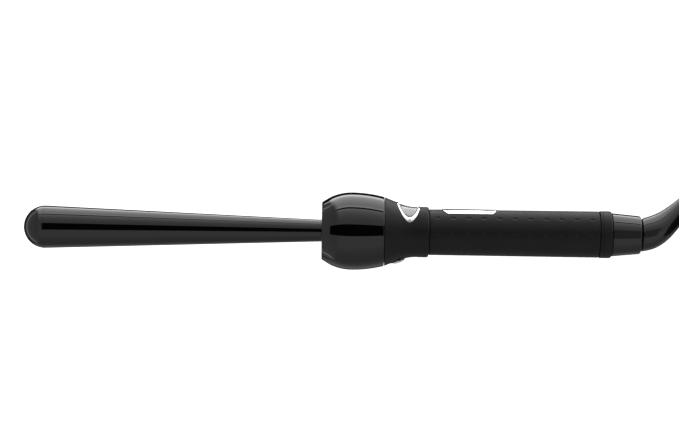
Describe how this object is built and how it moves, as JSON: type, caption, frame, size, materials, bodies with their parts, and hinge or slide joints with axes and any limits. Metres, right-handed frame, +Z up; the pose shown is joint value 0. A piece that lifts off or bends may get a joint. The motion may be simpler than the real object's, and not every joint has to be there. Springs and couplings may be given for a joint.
{
  "type": "curling wand",
  "caption": "Clipless reverse-taper curling wand with a bulb heat guard, rocker switch, soft grip, swivel boot and coiled mains cord, lying on its side.",
  "frame": {"origin": "centre of the wand's box on the surface it lies on, measured without the cord, its coil, plug and boot", "axes": "+X along the wand from the barrel tip to the cord, +Y towards the rocker switch side, +Z up from the surface; the wand's own axis is tilted 3.4 degrees with the tip raised"},
  "size_m": [0.5228, 0.0735, 0.0462],
  "materials": {
    "barrel_coating": "gloss",
    "guard_gloss": "gloss",
    "soft_touch": "matte",
    "cap_satin": "satin",
    "boot_rubber": "satin",
    "bright_chrome": "polished",
    "silver_switch": "satin",
    "badge_silver": "satin",
    "indicator_clear": "gloss",
    "spreader_aluminium": "satin",
    "heater_ceramic": "matte",
    "zinc_steel": "satin",
    "phenolic": "matte",
    "mica": "matte",
    "nylon_black": "matte",
    "board_green": "satin",
    "component_black": "satin",
    "capacitor_red": "gloss",
    "sensor_glass": "gloss",
    "lead_sleeve": "satin",
    "contact_brass": "satin",
    "cord_vinyl": "satin",
    "tie_fabric": "matte"
  },
  "bodies": {
    "wand": {"barrel_tube": "barrel_coating", "barrel_tip_cap": "barrel_coating", "heat_spreader_upper": "spreader_aluminium", "heat_spreader_lower": "spreader_aluminium", "ptc_heater": "heater_ceramic", "spring_clips": "zinc_steel", "heater_leads": "lead_sleeve", "thermal_fuse": "zinc_steel", "temperature_sensor": "sensor_glass", "sensor_leads": "lead_sleeve", "guard_shell": "guard_gloss", "barrel_socket": "phenolic", "socket_screws": "zinc_steel", "barrel_retainer": "zinc_steel", "heat_shield_disc": "mica", "collar_shell": "soft_touch", "switch_bezel": "bright_chrome", "indicator_lens": "indicator_clear", "rocker_pin": "zinc_steel", "switch_body": "nylon_black", "mode_button_ring": "guard_gloss", "tact_switch": "component_black", "handle_half_left": "nylon_black", "handle_half_right": "nylon_black", "handle_screws": "zinc_steel", "grip_sleeve": "soft_touch", "badge_plate": "badge_silver", "rear_ring": "soft_touch", "end_cap": "cap_satin", "control_board": "board_green", "triac": "component_black", "dropper_capacitor": "capacitor_red", "board_fuse": "sensor_glass", "mains_leads": "lead_sleeve", "brush_holder": "nylon_black", "contact_brushes": "contact_brass", "swivel_bearing": "nylon_black"},
    "rocker": {"rocker_button": "silver_switch"},
    "mode_button": {"mode_button": "bright_chrome"},
    "swivel": {"swivel_spindle": "nylon_black", "live_slip_ring": "contact_brass", "neutral_slip_ring": "contact_brass", "thrust_washer": "zinc_steel", "strain_relief_boot": "boot_rubber", "cord_lead": "cord_vinyl", "cord_coil": "cord_vinyl", "cord_tail": "cord_vinyl", "cord_tie": "tie_fabric", "plug_body": "cord_vinyl", "plug_blades": "contact_brass"}
  },
  "joints": [
    {"name": "rocker", "type": "hinge", "parent": "wand", "child": "rocker", "pos_m": [0.04161, 0.005, 0.02084], "axis": [-0.9982, 0, 0.0599], "range_deg": [0, 5]},
    {"name": "mode_button", "type": "slide", "parent": "wand", "child": "mode_button", "axis": [-0.3707, 0.9285, 0.0223], "range_m": [0, 0.0008], "stiffness_N_per_m": 600, "springref_m": -0.0004},
    {"name": "swivel", "type": "hinge", "parent": "wand", "child": "swivel", "pos_m": [0.17018, 0, 0.01313], "axis": [0.9982, 0, -0.0599], "continuous": true}
  ]
}
